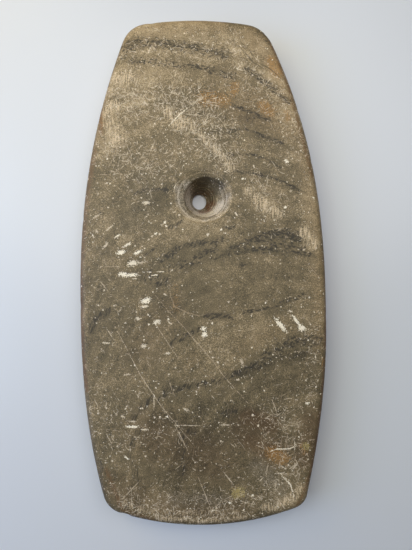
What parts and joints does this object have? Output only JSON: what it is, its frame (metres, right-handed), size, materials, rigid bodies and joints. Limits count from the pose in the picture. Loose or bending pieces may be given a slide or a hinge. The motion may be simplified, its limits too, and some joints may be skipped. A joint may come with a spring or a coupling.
{
  "type": "slate pendant",
  "caption": "Tongue-shaped tablet of ground stone with a crowned front, a flat back and one conical drilled hole near its narrow end.",
  "frame": {"origin": "under the middle of the stone, on the plane of its flat back", "axes": "+X across the stone, +Y along it towards the narrow head with the hole, +Z out of the crowned front face"},
  "size_m": [0.067, 0.137, 0.01],
  "materials": {
    "ground_slate": "ground and hand-rubbed, low waxy sheen, fine scratches"
  },
  "bodies": {
    "root": {"slate_pendant": "ground_slate"}
  },
  "joints": []
}
